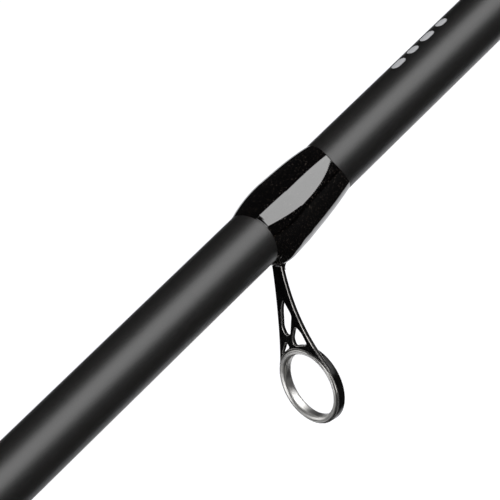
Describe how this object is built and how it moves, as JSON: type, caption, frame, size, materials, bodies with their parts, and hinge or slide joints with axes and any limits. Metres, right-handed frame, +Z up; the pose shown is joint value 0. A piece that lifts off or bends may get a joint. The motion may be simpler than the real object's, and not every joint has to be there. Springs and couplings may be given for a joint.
{
  "type": "spinning rod",
  "caption": "Two-piece spinning fishing rod with foam grips, a screw-lock reel seat and single-foot line guides that lean towards the butt.",
  "frame": {"origin": "centre of the butt cap's flat end face, on the blank's axis", "axes": "+X along the blank from butt to tip, +Z up, with the guides hanging below at -Z"},
  "size_m": [1.8335, 0.029, 0.0624],
  "materials": {
    "carbon_blank": "satin dark grey carbon with a fine grain",
    "wrap_coat": "thick clear epoxy over black thread, high gloss",
    "wrap_thread": "tight black nylon thread",
    "guide_frame": "gloss black plated steel",
    "ring_metal": "polished hard silver",
    "foam_grip": "closed-cell EVA foam, fine pores",
    "rubber_cap": "matte rubber",
    "bright_trim": "turned, satin anodised",
    "seat_composite": "satin filled nylon",
    "black_plastic": "plain moulded",
    "arbor_foam": "rigid foam"
  },
  "bodies": {
    "butt_section": {"butt_blank": "carbon_blank", "butt_plug": "black_plastic", "butt_cap": "rubber_cap", "butt_cap_ring": "bright_trim", "rear_grip": "foam_grip", "seat_check_ring": "bright_trim", "fore_grip": "foam_grip", "winding_check": "bright_trim", "reel_seat_body": "seat_composite", "fixed_hood": "seat_composite", "seat_arbor_rear": "arbor_foam", "seat_arbor_front": "arbor_foam", "hook_keeper": "ring_metal", "hook_keeper_thread": "wrap_thread", "hook_keeper_coat": "wrap_coat", "guide_1_frame": "guide_frame", "guide_1_ring": "ring_metal", "guide_1_thread": "wrap_thread", "guide_1_coat": "wrap_coat"},
    "tip_section": {"tip_blank": "carbon_blank", "ferrule_thread": "wrap_thread", "ferrule_coat": "wrap_coat", "guide_2_frame": "guide_frame", "guide_2_ring": "ring_metal", "guide_2_thread": "wrap_thread", "guide_2_coat": "wrap_coat", "guide_3_frame": "guide_frame", "guide_3_ring": "ring_metal", "guide_3_thread": "wrap_thread", "guide_3_coat": "wrap_coat", "guide_4_frame": "guide_frame", "guide_4_ring": "ring_metal", "guide_4_thread": "wrap_thread", "guide_4_coat": "wrap_coat", "guide_5_frame": "guide_frame", "guide_5_ring": "ring_metal", "guide_5_thread": "wrap_thread", "guide_5_coat": "wrap_coat", "guide_6_frame": "guide_frame", "guide_6_ring": "ring_metal", "guide_6_thread": "wrap_thread", "guide_6_coat": "wrap_coat", "guide_7_frame": "guide_frame", "guide_7_ring": "ring_metal", "guide_7_thread": "wrap_thread", "guide_7_coat": "wrap_coat", "tip_top_frame": "guide_frame", "tip_top_ring": "ring_metal", "tip_top_thread": "wrap_thread", "tip_top_coat": "wrap_coat"},
    "hood": {"sliding_hood": "seat_composite"},
    "nut": {"locking_nut": "seat_composite", "nut_trim_ring": "bright_trim"}
  },
  "joints": [
    {"name": "ferrule_slide", "type": "slide", "parent": "butt_section", "child": "tip_section", "axis": [1, 0, 0], "range_m": [0, 0.1]},
    {"name": "hood_slide", "type": "slide", "parent": "butt_section", "child": "hood", "axis": [1, 0, 0], "range_m": [0, 0.014]},
    {"name": "nut_spin", "type": "hinge", "parent": "hood", "child": "nut", "pos_m": [0.25125, 0, 0], "axis": [1, 0, 0], "range_deg": [0, 2520]}
  ],
  "couplings": [
    {"joint": "hood_slide", "follows": "nut_spin", "m_per_rad": 0.00031831}
  ]
}
